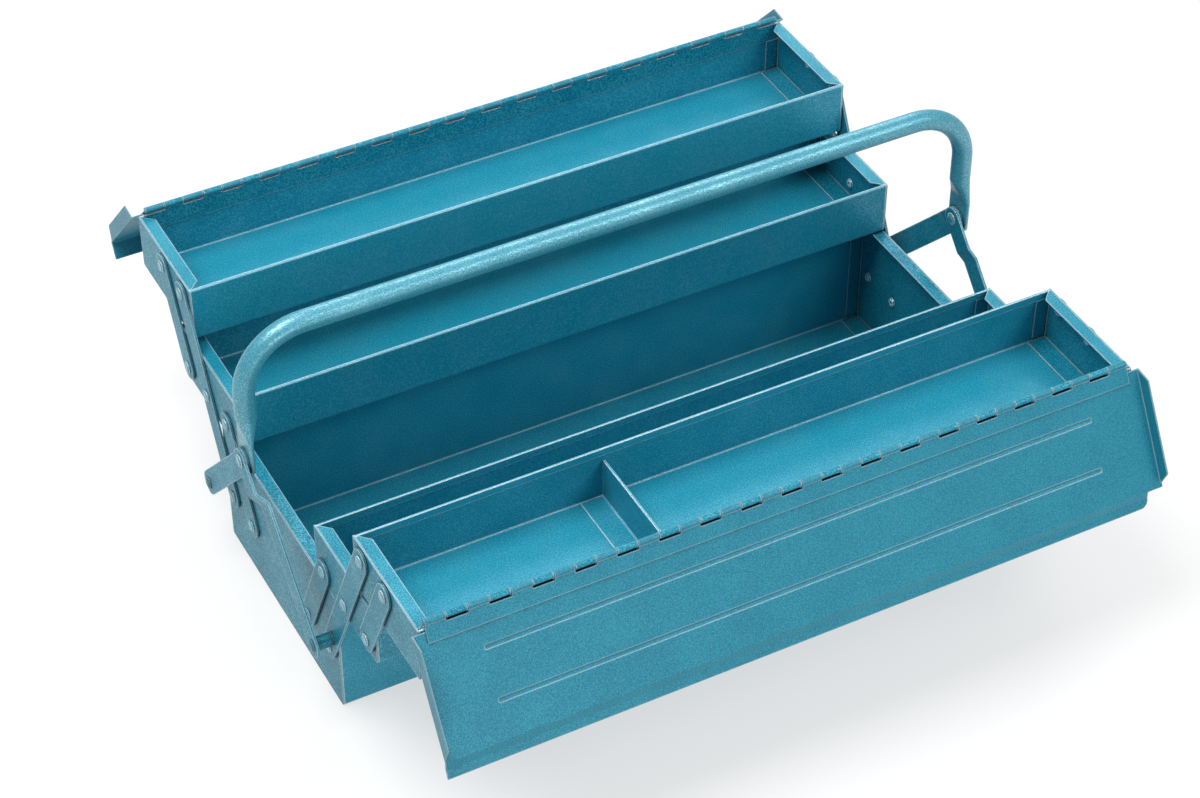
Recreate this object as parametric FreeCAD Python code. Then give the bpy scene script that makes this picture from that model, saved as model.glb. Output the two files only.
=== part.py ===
import FreeCAD, Part
import math
import os

# Five-tray steel cantilever tool box, modelled open. Millimetres, +Z up.
# +X runs along the box, -Y is the front. The origin is the centre of the base's underside.
V = FreeCAD.Vector
X_AXIS = V(1, 0, 0)

# Sheet metal
sheet = 1.0
bend = 1.0
fold = bend + sheet
gap = 0.1
overrun = 5.0

# Base and trays
box_length = 530.0
base_depth = 194.6
base_height = 103.1
tray_depth = 96.3
tray_height = 43.2
hem_height = 6.0
end_flange = 10.0
flange_cut = 7.0
side_tab = 11.0
floor_tab = 15.0
seat_gap = 0.4
tray_gap = 5.4

# Links between base and trays
link_span = 76.4
link_lean = 26.1
link_width = 18.0
link_thick = 1.8
link_gap = 0.3
link_pitch = 34.9
base_pin_inset = 48.1
base_pin_height = 47.5
tray_pin_inset = 13.9

# Link rivets
rivet_radius = 2.5
rivet_head = 4.5
rivet_crown = 2.8
rivet_height = 1.5
rivet_brim = 0.5
rivet_tail = 4.0
tail_rim = 3.0
tail_dimple = 1.8
tail_height = 1.6
running_gap = 0.06

# Handle
handle_stand = 15.0
handle_tube = 7.5
handle_bore = 6.3
handle_bend = 45.0
handle_pivot_height = 157.6
handle_rise = 101.0
flat_width = 23.0
flat_thick = 3.5
flat_offset = 2.0
flat_above = 19.0
flat_taper = 17.0

# Handle arms and the studs that carry their feet
arm_width = 18.0
arm_thick = 1.8
arm_reach = 15.0
arm_stand = 14.5
arm_joggle = 8.0
rear_arm_flat = 15.0
front_arm_flat = 25.0
stud_radius = 3.0
stud_collar = 5.0
stud_head = 4.6
pivot_radius = 3.0
pivot_head = 5.0
pivot_crown = 3.0
pivot_slack = 0.6

# Hinges
hinge_inset = 4.6
hinge_rise = 4.7
knuckle_count = 35
knuckle_gap = 0.5
knuckle_radius = 2.2
hinge_pin = 1.2
leaf_thick = 1.0
leaf_depth = 14.2
tray_leaf_depth = 18.5
slot_depth = 3.8

# Lids
lid_overlap = 4.8
lid_start = 6.5
lid_width = 90.5
lid_hang = [30.6, 43.0]
flap_depth = 9.8
flap_cut = 7.3
bead_inset = 43.8
bead_first = 29.1
bead_second = 64.6
bead_radius = 2.0
bead_depth = 0.9
front_lip_share = [(0.45, 0.8), (1.0, 1.0)]
front_lip_run = 11.9
front_lip_rise = 3.7
front_lip_short = 11.8
front_lip_corner = 6.0
rear_lip_share = [(1.0, 1.0)]
rear_lip_run = 5.2
rear_lip_rise = 13.0
lip_bend = 2.5

# Divider
divider_place = -87.0
divider_height = 32.0
divider_foot = 17.0
divider_hem = 4.0

# Places worked out from the sizes above
end_face = box_length / 2
handle_reach = end_face + handle_stand
flat_place = handle_reach + flat_offset
arm_foot = end_face + arm_stand
hinge_half = end_face - hinge_inset
lid_half = end_face + lid_overlap
bead_half = lid_half - bead_inset
lean = math.radians(link_lean)
step_out = link_span * math.sin(lean)
step_up = link_span * math.cos(lean)
base_pins = [base_depth / 2 - base_pin_inset + n * link_pitch for n in range(2)]
middle_wall = base_pins[0] + step_out - tray_pin_inset
middle_floor = base_height + seat_gap
middle_pins = [middle_wall + tray_pin_inset + n * link_pitch for n in range(3)]
middle_pin_height = base_pin_height + step_up
upper_wall = middle_pins[1] + step_out - tray_pin_inset
upper_floor = middle_floor + tray_height + tray_gap
upper_pins = [upper_wall + tray_pin_inset + n * link_pitch for n in range(2)]
upper_pin_height = middle_pin_height + step_up
upper_rim = upper_floor + tray_height
hinge_place = upper_wall + tray_depth - sheet - leaf_thick / 2
hinge_height = upper_rim + hinge_rise
link_inner = end_face + link_gap
link_outer = link_inner + link_thick
foot_place = base_pins[1] + arm_reach * math.sin(lean)
foot_height = base_pin_height + arm_reach * math.cos(lean)
arm_length = math.hypot(foot_place, handle_pivot_height - foot_height)


def unit(a, b):
    length = math.hypot(b[0] - a[0], b[1] - a[1])
    return ((b[0] - a[0]) / length, (b[1] - a[1]) / length)


def outline(corners, place):
    """Closed wire through corners (a, b, radius), each rounded by a tangent arc."""
    starts = []
    ends = []
    arcs = []
    count = len(corners)
    for n, (a, b, radius) in enumerate(corners):
        here = (a, b)
        before = unit(here, corners[n - 1])
        after = unit(here, corners[(n + 1) % count])
        if not radius:
            starts.append(here)
            ends.append(here)
            arcs.append(None)
            continue
        half = math.acos(max(-1, min(1, before[0] * after[0] + before[1] * after[1]))) / 2
        back = radius / math.tan(half)
        middle = unit((0, 0), (before[0] + after[0], before[1] + after[1]))
        reach = radius / math.sin(half) - radius
        starts.append((a + before[0] * back, b + before[1] * back))
        ends.append((a + after[0] * back, b + after[1] * back))
        arcs.append((a + middle[0] * reach, b + middle[1] * reach))
    edges = []
    for n in range(count):
        if arcs[n]:
            edges.append(Part.Arc(place(*starts[n]), place(*arcs[n]), place(*ends[n])).toShape())
        begin = place(*ends[n])
        finish = place(*starts[(n + 1) % count])
        if begin.distanceToPoint(finish) > Part.Precision.confusion():
            edges.append(Part.LineSegment(begin, finish).toShape())
    return Part.Wire(edges)


def prism(corners, place, run):
    return Part.Face(outline(corners, place)).extrude(run)


def ribbon(points, thick, inside):
    """Corners of a sheet of one thickness that follows the points, with rounded bends."""
    left = []
    right = []
    last = len(points) - 1
    for n, point in enumerate(points):
        before = unit(points[n - 1], point) if n else unit(point, points[1])
        after = unit(point, points[n + 1]) if n < last else before
        across = (-(before[1] + after[1]), before[0] + after[0])
        across = unit((0, 0), across)
        cosine = across[0] * -before[1] + across[1] * before[0]
        turn = before[0] * after[1] - before[1] * after[0]
        offset = thick / 2 / cosine
        inner = inside if 0 < n < last else 0
        outer = inside + thick if 0 < n < last else 0
        left.append((point[0] + across[0] * offset, point[1] + across[1] * offset,
                     inner if turn > 0 else outer))
        right.append((point[0] - across[0] * offset, point[1] - across[1] * offset,
                      outer if turn > 0 else inner))
    return left + right[::-1]


def plane_x(x, side=1):
    """Places (distance from the middle plane, height) on the plane at x."""
    return lambda y, z: V(x, side * y, z)


def round_bar(y, z, start, end, radius):
    return Part.makeCylinder(radius, end - start, V(start, y, z), X_AXIS)


def fuse(shapes):
    return shapes[0].multiFuse(shapes[1:]).removeSplitter()


def save(name, shapes):
    solids = []
    for shape in shapes:
        solids.extend(shape.Solids)
    result = solids[0] if len(solids) == 1 else Part.makeCompound(solids)
    result.exportStep("parts/" + name + ".step")


# Trays: a channel of floor and long walls, closed by two end plates
def channel(near, far, floor, rim, far_hem, side):
    def wall(face, inward, hem):
        if not hem:
            return [(face, rim, 0), (face + inward * sheet, rim, 0)]
        return [(face, rim, sheet), (face + inward * 2 * sheet, rim, 0),
                (face + inward * 2 * sheet, rim - hem_height, 0),
                (face + inward * sheet, rim - hem_height, 0)]

    corners = [(near, floor, fold), (far, floor, fold)]
    corners += wall(far, -1, far_hem)
    corners += [(far - sheet, floor + sheet, bend), (near + sheet, floor + sheet, bend)]
    corners += wall(near, 1, True)[::-1]
    start = -end_face + sheet
    return prism(corners, plane_x(start, side), V(box_length - 2 * sheet, 0, 0))


def end_plate(near, far, floor, rim, far_drop, side, end, pins, pin_height):
    """One end of a tray, with its inward top flange, floor tab and side tabs."""
    inner_face = end_face - sheet

    def across(y):
        return lambda x, z: V(end * x, side * y, z)

    wide = [(near, floor, fold), (far, floor, fold), (far, rim, 0), (near, rim, 0)]
    plate = prism(wide, plane_x(end * inner_face, side), V(end * sheet, 0, 0))
    low = floor + sheet * 3 / 2
    high = rim - sheet / 2
    middle = end_face - sheet / 2
    section = [(inner_face - floor_tab, low), (middle, low), (middle, high),
               (end_face - end_flange, high)]
    start = near + 2 * sheet + gap
    width = far - near - 4 * sheet - 2 * gap
    folded = prism(ribbon(section, sheet, bend), across(start), V(0, side * width, 0))
    plate = plate.fuse(folded)
    for face, drop in ((near + sheet, hem_height), (far - 2 * sheet, far_drop)):
        tab = [(inner_face - side_tab, low + sheet), (inner_face + sheet / 2, low + sheet),
               (inner_face + sheet / 2, rim - drop - gap), (inner_face - side_tab, rim - drop - gap)]
        corners = [(x, z, 0) for x, z in tab]
        plate = plate.fuse(prism(corners, across(face), V(0, side * sheet, 0)))
    plate = plate.removeSplitter()
    # Corners of the top flange are cut at 45 degrees
    tip = end_face - end_flange - overrun
    for corner, inward in ((start - gap, 1), (start + width + gap, -1)):
        cut = [(tip, corner - inward * overrun),
               (tip, corner + inward * (flange_cut + overrun)),
               (tip + flange_cut + 2 * overrun, corner - inward * overrun)]
        cutter = [V(end * x, side * y, rim - 2 * sheet) for x, y in cut]
        cutter.append(cutter[0])
        plate = plate.cut(Part.Face(Part.makePolygon(cutter)).extrude(V(0, 0, 3 * sheet)))
    for pin in pins:
        plate = plate.cut(round_bar(side * pin, pin_height, min(end * inner_face, end * end_face) - overrun,
                                    max(end * inner_face, end * end_face) + overrun, rivet_radius))
    return plate


def rivet(y, z, end):
    """A link rivet: tail inside the end plate, shank through the link, crowned head outside."""
    inner_face = end_face - sheet
    seat = link_outer + gap
    points = [(inner_face, 0), (inner_face - tail_height, tail_dimple),
              (inner_face - tail_height, tail_rim), (inner_face, rivet_tail),
              (inner_face, rivet_radius), (seat, rivet_radius),
              (seat, rivet_head), (seat + rivet_brim, rivet_head),
              (seat + rivet_height, rivet_crown), (seat + rivet_height, 0)]
    return spun(points, y, z, end)


def spun(points, y, z, end=1):
    """Turns (x, radius) points about the line through y, z."""
    corners = [V(end * x, y, z + radius) for x, radius in points]
    corners.append(corners[0])
    return Part.Face(Part.makePolygon(corners)).revolve(V(0, y, z), X_AXIS, 360)


def rivets(pins, pin_height, sides):
    return [rivet(side * pin, pin_height, end) for side in sides for pin in pins for end in (-1, 1)]


# Links: straps with round ends that turn on the rivets
def slot_shape(start, end, width, x, thick):
    along = unit(start, end)
    across = (-along[1] * width / 2, along[0] * width / 2)
    reach = (along[0] * width / 2, along[1] * width / 2)

    def at(point, a, r):
        return V(x, point[0] + a * across[0] + r * reach[0], point[1] + a * across[1] + r * reach[1])

    edges = [Part.LineSegment(at(start, 1, 0), at(end, 1, 0)).toShape(),
             Part.Arc(at(end, 1, 0), at(end, 0, 1), at(end, -1, 0)).toShape(),
             Part.LineSegment(at(end, -1, 0), at(start, -1, 0)).toShape(),
             Part.Arc(at(start, -1, 0), at(start, 0, -1), at(start, 1, 0)).toShape()]
    return Part.Face(Part.Wire(edges)).extrude(V(thick, 0, 0))


def link(side, end, low, low_height, spans, stud=False):
    start = (side * low, low_height)
    finish = (side * (low + spans * step_out), low_height + spans * step_up)
    left = min(end * link_inner, end * link_outer)
    strap = slot_shape(start, finish, link_width, left, link_thick)
    for n in range(spans + 1):
        strap = strap.cut(round_bar(side * (low + n * step_out), low_height + n * step_up,
                                    left - overrun, left + overrun, rivet_radius + running_gap))
    if stud:
        strap = strap.cut(round_bar(side * foot_place, foot_height, left - overrun, left + overrun,
                                    stud_radius))
    return strap


# Handle: a bent tube with pressed flat ends
def stadium(width, thick, x, z):
    half = width / 2 - thick / 2
    depth = thick / 2
    root = math.sqrt(2) / 2
    ring = [V(x + depth * root, half + depth * root, z), V(x - depth * root, half + depth * root, z),
            V(x - depth * root, -half - depth * root, z), V(x + depth * root, -half - depth * root, z)]
    tops = [V(x, width / 2, z), V(x, -width / 2, z)]
    sides = [V(x - depth, 0, z), V(x + depth, 0, z)]
    if width == thick:
        edges = [Part.Arc(ring[0], tops[0], ring[1]), Part.Arc(ring[1], sides[0], ring[2]),
                 Part.Arc(ring[2], tops[1], ring[3]), Part.Arc(ring[3], sides[1], ring[0])]
    else:
        inner = [V(x + depth, half, z), V(x - depth, half, z), V(x - depth, -half, z), V(x + depth, -half, z)]
        edges = [Part.Arc(inner[0], tops[0], inner[1]), Part.LineSegment(inner[1], inner[2]),
                 Part.Arc(inner[2], tops[1], inner[3]), Part.LineSegment(inner[3], inner[0])]
    return Part.Wire([edge.toShape() for edge in edges])


def handle_path(start):
    top = handle_pivot_height + handle_rise
    bend_start = top - handle_bend
    inner = handle_reach - handle_bend
    corner = handle_bend * (1 - math.sqrt(2) / 2)
    points = [V(-handle_reach, 0, start), V(-handle_reach, 0, bend_start),
              V(-handle_reach + corner, 0, top - corner), V(-inner, 0, top)]
    mirrored = [V(-p.x, p.y, p.z) for p in points[::-1]]
    edges = [Part.LineSegment(points[0], points[1]).toShape(),
             Part.Arc(points[1], points[2], points[3]).toShape(),
             Part.LineSegment(points[3], mirrored[0]).toShape(),
             Part.Arc(mirrored[0], mirrored[1], mirrored[2]).toShape(),
             Part.LineSegment(mirrored[2], mirrored[3]).toShape()]
    return Part.Wire(edges)


def handle():
    start = handle_pivot_height + flat_above + flat_taper
    path = handle_path(start)
    foot = V(-handle_reach, 0, start)
    outside, inside = [Part.Wire(Part.Circle(foot, V(0, 0, 1), radius).toShape())
                       for radius in (handle_tube, handle_bore)]
    pieces = [path.makePipeShell([outside], True, False).cut(path.makePipeShell([inside], True, False))]
    for end in (-1, 1):
        x = end * flat_place
        taper = Part.makeLoft([stadium(2 * handle_tube, 2 * handle_tube, end * handle_reach, start),
                               stadium(flat_width, flat_thick, x, start - flat_taper)], True, False)
        low = handle_pivot_height - flat_width / 2
        high = start - flat_taper
        corner = flat_width / 2
        blade = [(-flat_width / 2, high, 0), (-flat_width / 2, low, corner),
                 (flat_width / 2, low, corner), (flat_width / 2, high, 0)]
        flat = prism(blade, plane_x(x - flat_thick / 2), V(flat_thick, 0, 0))
        edge = Part.Face(stadium(flat_width, flat_thick, x, low)).extrude(V(0, 0, high - low))
        pieces += [taper, flat.common(edge)]
    solid = fuse(pieces)
    return solid.cut(round_bar(0, handle_pivot_height, -handle_reach - handle_tube - overrun,
                               handle_reach + handle_tube + overrun, pivot_radius + running_gap))


# Arms: straps from the handle's pivots to studs on the long links
def arm_planes(end, layer):
    """Middle planes of an arm at the pivot and at its foot; layer 0 lies on the handle's flat.

    At both ends of the box the arms lie on the left of the handle."""
    pivot = end * flat_place - flat_thick / 2 - gap - (layer + 1 / 2) * arm_thick - layer * gap
    foot = end * (arm_foot + arm_thick / 2)
    return pivot, foot


def arm(side, end, layer, flat, pivot_hole):
    pivot, foot = arm_planes(end, layer)
    foot_at = (side * foot_place, foot_height)
    top_at = (0, handle_pivot_height)
    along = unit(foot_at, top_at)
    profile = [(-arm_width, foot), (arm_length - flat - arm_joggle, foot),
               (arm_length - flat, pivot), (arm_length + arm_width, pivot)]

    def place(s, x):
        return V(x, foot_at[0] + along[0] * s + along[1] * arm_width,
                 foot_at[1] + along[1] * s - along[0] * arm_width)

    run = V(0, -2 * along[1] * arm_width, 2 * along[0] * arm_width)
    strip = prism(ribbon(profile, arm_thick, bend), place, run)
    low = min(pivot, foot) - arm_thick
    high = max(pivot, foot) + arm_thick
    shape = strip.common(slot_shape(foot_at, top_at, arm_width, low, high - low))
    shape = shape.cut(round_bar(*foot_at, low - overrun, high + overrun, stud_radius + running_gap))
    return shape.cut(round_bar(*top_at, low - overrun, high + overrun, pivot_hole))


def stud(side, end):
    """Shouldered stud that holds an arm's foot clear of the links."""
    head_seat = arm_foot + arm_thick + gap
    points = [(link_inner, 0), (link_inner, stud_radius), (link_outer, stud_radius),
              (link_outer, stud_collar), (arm_foot - gap, stud_collar), (arm_foot - gap, stud_radius),
              (head_seat, stud_radius), (head_seat, stud_head), (head_seat + rivet_brim, stud_head),
              (head_seat + rivet_height, rivet_crown), (head_seat + rivet_height, 0)]
    return spun(points, side * foot_place, foot_height, end)


def pivot_rivet(end):
    """Rivet through the handle's flat and both arms."""
    flat_face = end * flat_place + flat_thick / 2 + gap
    outer_arm = arm_planes(end, 1)[0] - arm_thick / 2 - gap
    points = [(flat_face + rivet_height, 0), (flat_face + rivet_height, pivot_crown),
              (flat_face + rivet_brim, pivot_head), (flat_face, pivot_head),
              (flat_face, pivot_radius), (outer_arm, pivot_radius), (outer_arm, pivot_head),
              (outer_arm - rivet_brim, pivot_head), (outer_arm - rivet_height, pivot_crown),
              (outer_arm - rivet_height, 0)]
    return spun(points, 0, handle_pivot_height)


# Hinges: leaves with alternate rolled knuckles on one pin
def knuckles(first):
    pitch = 2 * hinge_half / knuckle_count
    for n in range(first, knuckle_count, 2):
        start = -hinge_half + n * pitch
        yield start + knuckle_gap / 2, start + pitch - knuckle_gap / 2


def leaf(place, first, depth):
    """A hinge leaf: place maps (distance from the pin along the leaf, across it) to a plane."""
    flat = [(slot_depth, -leaf_thick / 2, 0), (depth, -leaf_thick / 2, 0),
            (depth, leaf_thick / 2, 0), (slot_depth, leaf_thick / 2, 0)]
    start = -hinge_half
    shapes = [prism(flat, lambda u, n: place(start, u, n), V(2 * hinge_half, 0, 0))]
    tongue = [(0, -leaf_thick / 2, 0), (slot_depth, -leaf_thick / 2, 0),
              (slot_depth, leaf_thick / 2, 0), (0, leaf_thick / 2, 0)]
    centre = place(0, 0, 0)
    for begin, finish in knuckles(first):
        length = finish - begin
        neck = prism(tongue, lambda u, n: place(begin, u, n), V(length, 0, 0))
        shapes.append(neck)
        shapes.append(round_bar(centre.y, centre.z, begin, finish, knuckle_radius))
    whole = fuse(shapes)
    bore = round_bar(centre.y, centre.z, -hinge_half - overrun, hinge_half + overrun,
                     hinge_pin + running_gap)
    return whole.cut(bore)


# Lids: a flat panel with two swaged beads, end flaps and a lip along the free edge
def lid_place(side):
    hang = math.radians(lid_hang[max(side, 0)])

    def place(x, u, n):
        y = side * (hinge_place + math.sin(hang) * u + math.cos(hang) * n)
        return V(x, y, hinge_height - math.cos(hang) * u + math.sin(hang) * n)

    return place


def lid(side, lip_shares, lip_run, lip_rise):
    place = lid_place(side)
    back = -leaf_thick / 2 - sheet
    level = back + sheet / 2
    points = [(lid_start, level), (lid_width, level)]
    points += [(lid_width + run * lip_run, level - rise * lip_rise) for run, rise in lip_shares]
    panel = prism(ribbon(points, sheet, lip_bend), lambda u, n: place(-lid_half, u, n),
                  V(2 * lid_half, 0, 0))
    flap_end = lid_width - lip_bend
    flap = [(lid_start, back, 0), (lid_start, 0, 0), (lid_start + flap_cut, flap_depth, 0),
            (flap_end - flap_cut, flap_depth, 0), (flap_end, 0, 0), (flap_end, back, 0)]
    for end in (-1, 1):
        start = min(end * lid_half, end * (lid_half - sheet))
        panel = panel.fuse(prism(flap, lambda u, n: place(start, u, n), V(sheet, 0, 0)))
    for along in (bead_first, bead_second):
        panel = bead(panel, place, along)
    return panel


def bead(panel, place, along):
    """Presses a rounded groove into the panel's inner face, with its ridge on the back."""
    face = -leaf_thick / 2
    centre = place(0, along, face + bead_radius - bead_depth)
    half = bead_radius + sheet
    slab = [(along - half, face, 0), (along + half, face, 0),
            (along + half, face - half, 0), (along - half, face - half, 0)]
    ridge = round_bar(centre.y, centre.z, -bead_half - sheet, bead_half + sheet, half)
    ridge = ridge.common(prism(slab, lambda u, n: place(-lid_half, u, n), V(2 * lid_half, 0, 0)))
    groove = round_bar(centre.y, centre.z, -bead_half, bead_half, bead_radius)
    return panel.fuse(ridge).cut(groove).removeSplitter()


def lip_end(panel):
    """Cuts the front lip back at its right end and rounds the corner."""
    place = lid_place(-1)
    right = lid_half - front_lip_short
    reach = lid_width + front_lip_run

    def flat(x, u):
        return place(x, u, -lid_width)

    outside = [(right, lid_width + bend, 0), (right, reach, front_lip_corner),
               (right - 2 * front_lip_corner, reach, 0), (right - 2 * front_lip_corner, reach + overrun, 0),
               (lid_half + overrun, reach + overrun, 0), (lid_half + overrun, lid_width + bend, 0)]
    away = flat(0, 0)
    toward = place(0, 0, lid_width)
    return panel.cut(prism(outside, flat, toward - away))


# Divider: a plate with a hemmed top and a foot on the tray floor
def divider():
    floor = upper_floor + sheet
    top = floor + divider_height
    near = divider_place
    corners = [(near - divider_foot, floor, 0), (near + sheet, floor, fold),
               (near + sheet, top - divider_hem, 0), (near + 2 * sheet, top - divider_hem, 0),
               (near + 2 * sheet, top, sheet), (near, top, 0),
               (near, floor + sheet, bend), (near - divider_foot, floor + sheet, 0)]
    start = upper_wall + sheet + bend
    run = tray_depth - 2 * sheet - bend - leaf_thick - gap
    return prism(corners, lambda x, z: V(x, -start, z), V(0, -run, 0))


def tray(name, near, floor, height, hinged, side, pins, pin_height, depth=tray_depth):
    far = near + depth
    rim = floor + height
    far_drop = tray_leaf_depth - hinge_rise if hinged else hem_height
    save(name + "_channel", [channel(near, far, floor, rim, not hinged, side)])
    for end, word in ((-1, "left"), (1, "right")):
        plate = end_plate(near, far, floor, rim, far_drop, side, end, pins, pin_height)
        save(name + "_end_" + word, [plate])


def main():
    os.makedirs("parts", exist_ok=True)
    base_holes = [-pin for pin in base_pins] + base_pins
    tray("base", -base_depth / 2, 0, base_height, False, 1, base_holes, base_pin_height, base_depth)
    save("base_rivets", rivets(base_pins, base_pin_height, (-1, 1)))
    save("tray_divider", [divider()])
    save("handle_tube", [handle()])
    save("handle_rivets", [pivot_rivet(end) for end in (-1, 1)])
    for side, word in ((-1, "front"), (1, "rear")):
        tray(word + "_middle", middle_wall, middle_floor, tray_height, False, side,
             middle_pins, middle_pin_height)
        tray(word + "_upper", upper_wall, upper_floor, tray_height, True, side,
             upper_pins, upper_pin_height)
        save(word + "_middle_rivets", rivets(middle_pins, middle_pin_height, (side,)))
        save(word + "_upper_rivets", rivets(upper_pins, upper_pin_height, (side,)))
        save(word + "_arm_studs", [stud(side, end) for end in (-1, 1)])
        for end, hand in ((-1, "left"), (1, "right")):
            save(word + "_inner_link_" + hand, [link(side, end, base_pins[0], base_pin_height, 1)])
            save(word + "_long_link_" + hand, [link(side, end, base_pins[1], base_pin_height, 2, True)])
            save(word + "_outer_link_" + hand, [link(side, end, middle_pins[2], middle_pin_height, 1)])
            if side < 0:
                shape = arm(side, end, 1, front_arm_flat, pivot_radius + running_gap)
            else:
                shape = arm(side, end, 0, rear_arm_flat, pivot_radius + pivot_slack)
            save(word + "_arm_" + hand, [shape])

        def tray_leaf(x, u, n, side=side):
            return V(x, side * (hinge_place - n), hinge_height - u)

        save(word + "_hinge_tray_leaf", [leaf(tray_leaf, 1, tray_leaf_depth)])
        save(word + "_hinge_lid_leaf", [leaf(lid_place(side), 0, leaf_depth)])
        save(word + "_hinge_pin", [round_bar(side * hinge_place, hinge_height, -hinge_half,
                                             hinge_half, hinge_pin)])
    front_lid = lid(-1, front_lip_share, front_lip_run, front_lip_rise)
    save("front_lid", [lip_end(front_lid)])
    save("rear_lid", [lid(1, rear_lip_share, rear_lip_run, rear_lip_rise)])


main()
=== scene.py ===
import math

import bpy
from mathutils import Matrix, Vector

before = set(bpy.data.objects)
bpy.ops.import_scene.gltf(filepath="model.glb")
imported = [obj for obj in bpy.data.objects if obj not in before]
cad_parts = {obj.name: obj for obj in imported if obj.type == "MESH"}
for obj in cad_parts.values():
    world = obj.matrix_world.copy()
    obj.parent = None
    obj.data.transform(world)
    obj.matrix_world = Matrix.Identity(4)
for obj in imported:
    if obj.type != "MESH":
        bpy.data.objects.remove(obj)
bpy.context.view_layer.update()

# Camera, where the photograph was taken from (metres and degrees)
camera_azimuth = -27.84
camera_elevation = 41.19
camera_distance = 2.09
camera_aim = (-0.0308, -0.0289, 0.130)
lens = 89.9

# Paint: the speckle's tones from dark through body to light
tray_tones = ((0.000, 0.180, 0.280, 1), (0.000, 0.245, 0.360, 1), (0.100, 0.370, 0.465, 1))
plate_tones = ((0.000, 0.115, 0.190, 1), (0.000, 0.190, 0.280, 1), (0.070, 0.330, 0.420, 1))
# Lids: darker and greyer than the tray tones, painted shade on the hanging lids
lid_shaded_tones = ((0.002, 0.125, 0.195, 1), (0.006, 0.175, 0.255, 1), (0.030, 0.250, 0.335, 1))
# Handle: lighter tones, partly the handle's own lighter paint and partly a painted highlight; the
# rivets take them too, as a painted highlight on their heads
handle_and_highlight_tones = ((0.012, 0.180, 0.260, 1), (0.040, 0.260, 0.345, 1), (0.200, 0.460, 0.540, 1))
# Studs: near-black tones, painted shade on the spacer studs, which sit in shadow
stud_shaded_tones = ((0.000, 0.060, 0.095, 1), (0.002, 0.115, 0.165, 1), (0.030, 0.220, 0.280, 1))
# Painted highlight: the near-white tone laid over edges and bends
painted_edge_highlight_tone = (0.90, 0.97, 0.98, 1)
# Painted shade: the near-black tone laid into narrow gaps
painted_shade_tone = (0.000, 0.010, 0.020, 1)

# Sizes in the paint (metres)
speckle_size = 0.0009
cloud_size = 0.030
edge_highlight_radius = 0.0012
painted_shade_reach = 0.0035
hammer_depth = 0.0002

# Where the noise and the corners turn from one tone to the next
tone_stops = (0.46, 0.575, 0.70)
painted_shade_stops = (0.45, 0.85)
edge_highlight_stops = (0.92, 0.992)
flake_stops = (0.575, 0.68)
gloss_stops = (0.40, 0.75)

# Surface of every paint
cloud_share = 0.15
hammer_strength = 0.6
dull_step = 0.12
bright_step = 0.06
coat_weight = 0.06
coat_roughness = 0.22

# Roughness, shine, and shares of painted edge highlight, painted shade in narrow gaps and metal
# flakes in each paint
tray_finish = (0.40, 0.33, 1.0, 0, 0.6)
plate_finish = (0.36, 0.15, 0.55, 1.0, 0.5)
lid_finish = (0.42, 0.35, 0.35, 0, 0.4)
handle_finish = (0.34, 0.6, 0.5, 0.9, 0.7)
rivet_finish = (0.22, 0.8, 0.9, 0.6, 0.7)
stud_finish = (0.36, 0.25, 0.3, 1.0, 0.5)

# Hinge pins: drawn steel, with lines along the wire
steel_dark = (0.30, 0.31, 0.32, 1)
steel_light = (0.62, 0.63, 0.64, 1)
steel_stops = (0.35, 0.70)
steel_lines = (40, 2600, 2600)
steel_line_depth = 0.00005
steel_roughness = 0.35

white = (1, 1, 1, 1)
black = (0, 0, 0, 1)

# Studio
floor_half = 6.0
floor_tone = (0.30, 0.30, 0.30, 1)
world_strength = 0.35
floor_grain = 900
floor_grain_depth = 0.0001
floor_roughness = 0.7
floor_glow = 0.60
# Each light: place, size, watts
key_light = ((-0.8, 0.1, 2.2), 1.4, 56)
front_light = ((1.1, -1.6, 1.8), 1.2, 26)
fill_light = ((-0.1, -2.6, 0.15), 1.2, 21)
back_light = ((0.9, 1.7, 1.75), 1.4, 26)


def add(nodes, kind, **inputs):
    """Adds a shader node and sets its inputs by name."""
    node = nodes.new(kind)
    for name, value in inputs.items():
        node.inputs[name.replace("_", " ")].default_value = value
    return node


def ramp(nodes, stops):
    """Adds a colour ramp from pairs of place and tone."""
    node = nodes.new("ShaderNodeValToRGB")
    elements = node.color_ramp.elements
    while len(elements) < len(stops):
        elements.new(1)
    for element, (place, tone) in zip(elements, stops):
        element.position = place
        element.color = tone
    return node


def mix(nodes, links, factor, first, second):
    """Mixes the fixed second colour over the first socket."""
    node = nodes.new("ShaderNodeMix")
    node.data_type = "RGBA"
    links.new(factor, node.inputs["Factor"])
    links.new(first, node.inputs["A"])
    node.inputs["B"].default_value = second
    return node.outputs["Result"]


def scaled(nodes, links, socket, share):
    """Multiplies a socket by a fixed share."""
    node = nodes.new("ShaderNodeMath")
    node.operation = "MULTIPLY"
    node.inputs[1].default_value = share
    links.new(socket, node.inputs[0])
    return node.outputs["Value"]


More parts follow.
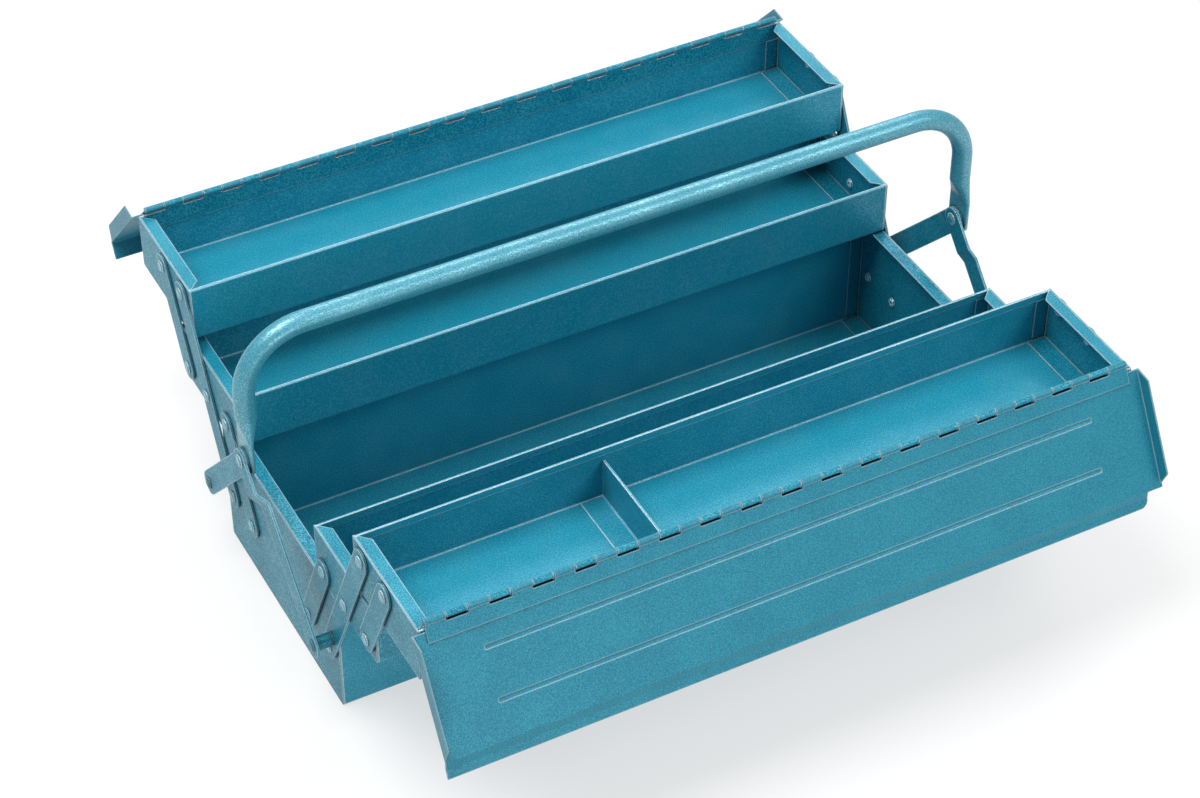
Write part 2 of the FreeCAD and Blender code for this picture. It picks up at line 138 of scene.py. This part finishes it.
def hammertone(name, tones, finish):
    """Hammered stove enamel: speckled paint with metal flakes, with a painted highlight over edges
    and bends and painted shade in narrow gaps.
    """
    roughness, shine, edge_highlight_share, painted_shade_share, flake_share = finish
    material = bpy.data.materials.new(name)
    material.use_nodes = True
    nodes = material.node_tree.nodes
    links = material.node_tree.links
    shader = nodes["Principled BSDF"]
    place = nodes.new("ShaderNodeTexCoord")
    grain = add(nodes, "ShaderNodeTexNoise", Scale=1 / speckle_size, Detail=3, Roughness=0.65)
    cloud = add(nodes, "ShaderNodeTexNoise", Scale=1 / cloud_size, Detail=2, Roughness=0.5)
    for texture in (grain, cloud):
        links.new(place.outputs["Object"], texture.inputs["Vector"])
    # Speckle with a slow drift in how dense it is
    blend = nodes.new("ShaderNodeMath")
    blend.operation = "MULTIPLY_ADD"
    blend.inputs[1].default_value = cloud_share
    links.new(cloud.outputs["Fac"], blend.inputs[0])
    links.new(grain.outputs["Fac"], blend.inputs[2])
    colour = ramp(nodes, list(zip(tone_stops, tones)))
    links.new(blend.outputs["Value"], colour.inputs["Fac"])
    tone = colour.outputs["Color"]
    # Painted shade: a near-black tone laid into the narrow gaps beside links, rivets and knuckles,
    # where ambient occlusion finds them
    if painted_shade_share:
        hollow = nodes.new("ShaderNodeAmbientOcclusion")
        hollow.samples = 6
        hollow.inputs["Distance"].default_value = painted_shade_reach
        deep = ramp(nodes, list(zip(painted_shade_stops, (white, black))))
        links.new(hollow.outputs["AO"], deep.inputs["Fac"])
        share = scaled(nodes, links, deep.outputs["Color"], painted_shade_share)
        tone = mix(nodes, links, share, tone, painted_shade_tone)
    # Painted highlight: a pale tone laid over edges and bends, convex and concave alike
    rounded = nodes.new("ShaderNodeBevel")
    rounded.samples = 4
    rounded.inputs["Radius"].default_value = edge_highlight_radius
    flat = nodes.new("ShaderNodeNewGeometry")
    turn = nodes.new("ShaderNodeVectorMath")
    turn.operation = "DOT_PRODUCT"
    links.new(rounded.outputs["Normal"], turn.inputs[0])
    links.new(flat.outputs["Normal"], turn.inputs[1])
    edge = ramp(nodes, list(zip(edge_highlight_stops, (white, black))))
    links.new(turn.outputs["Value"], edge.inputs["Fac"])
    share = scaled(nodes, links, edge.outputs["Color"], edge_highlight_share)
    tone = mix(nodes, links, share, tone, painted_edge_highlight_tone)
    links.new(tone, shader.inputs["Base Color"])
    # Metal flakes in the pale speckles
    flakes = ramp(nodes, list(zip(flake_stops, (black, white))))
    links.new(blend.outputs["Value"], flakes.inputs["Fac"])
    links.new(scaled(nodes, links, flakes.outputs["Color"], flake_share), shader.inputs["Metallic"])
    # Orange-peel surface
    bump = add(nodes, "ShaderNodeBump", Strength=hammer_strength, Distance=hammer_depth)
    links.new(grain.outputs["Fac"], bump.inputs["Height"])
    links.new(rounded.outputs["Normal"], bump.inputs["Normal"])
    links.new(bump.outputs["Normal"], shader.inputs["Normal"])
    dull = (roughness + dull_step,) * 3 + (1,)
    bright = (roughness - bright_step,) * 3 + (1,)
    gloss = ramp(nodes, list(zip(gloss_stops, (dull, bright))))
    links.new(blend.outputs["Value"], gloss.inputs["Fac"])
    links.new(gloss.outputs["Color"], shader.inputs["Roughness"])
    shader.inputs["Specular IOR Level"].default_value = shine
    shader.inputs["Coat Weight"].default_value = coat_weight
    shader.inputs["Coat Roughness"].default_value = coat_roughness
    return material


def steel(name):
    """Drawn steel wire with faint lengthwise lines."""
    material = bpy.data.materials.new(name)
    material.use_nodes = True
    nodes = material.node_tree.nodes
    links = material.node_tree.links
    shader = nodes["Principled BSDF"]
    place = nodes.new("ShaderNodeTexCoord")
    stretch = add(nodes, "ShaderNodeMapping", Scale=steel_lines)
    grain = add(nodes, "ShaderNodeTexNoise", Scale=1, Detail=2)
    tones = ramp(nodes, list(zip(steel_stops, (steel_dark, steel_light))))
    links.new(place.outputs["Object"], stretch.inputs["Vector"])
    links.new(stretch.outputs["Vector"], grain.inputs["Vector"])
    links.new(grain.outputs["Fac"], tones.inputs["Fac"])
    links.new(tones.outputs["Color"], shader.inputs["Base Color"])
    bump = add(nodes, "ShaderNodeBump", Strength=0.2, Distance=steel_line_depth)
    links.new(grain.outputs["Fac"], bump.inputs["Height"])
    links.new(bump.outputs["Normal"], shader.inputs["Normal"])
    shader.inputs["Metallic"].default_value = 1
    shader.inputs["Roughness"].default_value = steel_roughness
    return material


def dress_nodes():
    """Gives each CAD node the paint of its kind."""
    tray = hammertone("tray_paint", tray_tones, tray_finish)
    plate = hammertone("plate_paint", plate_tones, plate_finish)
    # The lids take the darker tones: painted shade
    lid = hammertone("lid_shaded_paint", lid_shaded_tones, lid_finish)
    handle = hammertone("handle_paint", handle_and_highlight_tones, handle_finish)
    # Rivets take the handle's lighter tones: painted highlight on the rivet heads
    rivet = hammertone("rivet_highlight_paint", handle_and_highlight_tones, rivet_finish)
    # The studs take the near-black tones: painted shade
    stud = hammertone("stud_shaded_paint", stud_shaded_tones, stud_finish)
    pin = steel("pin_steel")
    for name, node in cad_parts.items():
        finish = plate
        if name.endswith(("_channel", "_divider")):
            finish = tray
        elif name.endswith("_rivets"):
            finish = rivet
        elif name.endswith("_studs"):
            finish = stud
        elif name.endswith(("_lid", "_lid_leaf")):
            finish = lid
        elif name.startswith("handle"):
            finish = handle
        elif name.endswith("hinge_pin"):
            finish = pin
        for slot in node.material_slots:
            slot.material = finish


def floor():
    """A wide pale floor with its own faint glow, so that it stays white far out."""
    half = floor_half
    mesh = bpy.data.meshes.new("floor")
    corners = [(-half, -half, 0), (half, -half, 0), (half, half, 0), (-half, half, 0)]
    mesh.from_pydata(corners, [], [(0, 1, 2, 3)])
    plane = bpy.data.objects.new("floor", mesh)
    bpy.context.scene.collection.objects.link(plane)
    material = bpy.data.materials.new("floor_finish")
    material.use_nodes = True
    nodes = material.node_tree.nodes
    shader = nodes["Principled BSDF"]
    grain = add(nodes, "ShaderNodeTexNoise", Scale=floor_grain, Detail=2)
    bump = add(nodes, "ShaderNodeBump", Strength=0.05, Distance=floor_grain_depth)
    material.node_tree.links.new(grain.outputs["Fac"], bump.inputs["Height"])
    material.node_tree.links.new(bump.outputs["Normal"], shader.inputs["Normal"])
    shader.inputs["Base Color"].default_value = floor_tone
    shader.inputs["Emission Color"].default_value = white
    shader.inputs["Emission Strength"].default_value = floor_glow
    shader.inputs["Roughness"].default_value = floor_roughness
    mesh.materials.append(material)


def softbox(name, place, size, watts):
    """A square soft light aimed at the box."""
    data = bpy.data.lights.new(name, "AREA")
    data.shape = "SQUARE"
    data.size = size
    data.energy = watts
    lamp = bpy.data.objects.new(name, data)
    lamp.location = place
    aim = Vector(camera_aim) - Vector(place)
    lamp.rotation_mode = "QUATERNION"
    lamp.rotation_quaternion = aim.to_track_quat("-Z", "Y")
    bpy.context.scene.collection.objects.link(lamp)


def studio():
    world = bpy.data.worlds.new("studio")
    bpy.context.scene.world = world
    bpy.context.scene.view_settings.view_transform = "Standard"
    world.use_nodes = True
    background = world.node_tree.nodes["Background"]
    background.inputs["Color"].default_value = white
    background.inputs["Strength"].default_value = world_strength
    softbox("key_light", *key_light)
    softbox("front_light", *front_light)
    softbox("fill_light", *fill_light)
    softbox("back_light", *back_light)


def camera():
    azimuth = math.radians(camera_azimuth)
    elevation = math.radians(camera_elevation)
    back = Vector((math.sin(azimuth) * math.cos(elevation),
                   -math.cos(azimuth) * math.cos(elevation), math.sin(elevation)))
    data = bpy.data.cameras.new("photo_camera")
    data.lens = lens
    eye = bpy.data.objects.new("photo_camera", data)
    eye.location = Vector(camera_aim) + back * camera_distance
    eye.rotation_mode = "QUATERNION"
    eye.rotation_quaternion = (-back).to_track_quat("-Z", "Y")
    bpy.context.scene.collection.objects.link(eye)
    bpy.context.scene.camera = eye


dress_nodes()
floor()
studio()
camera()
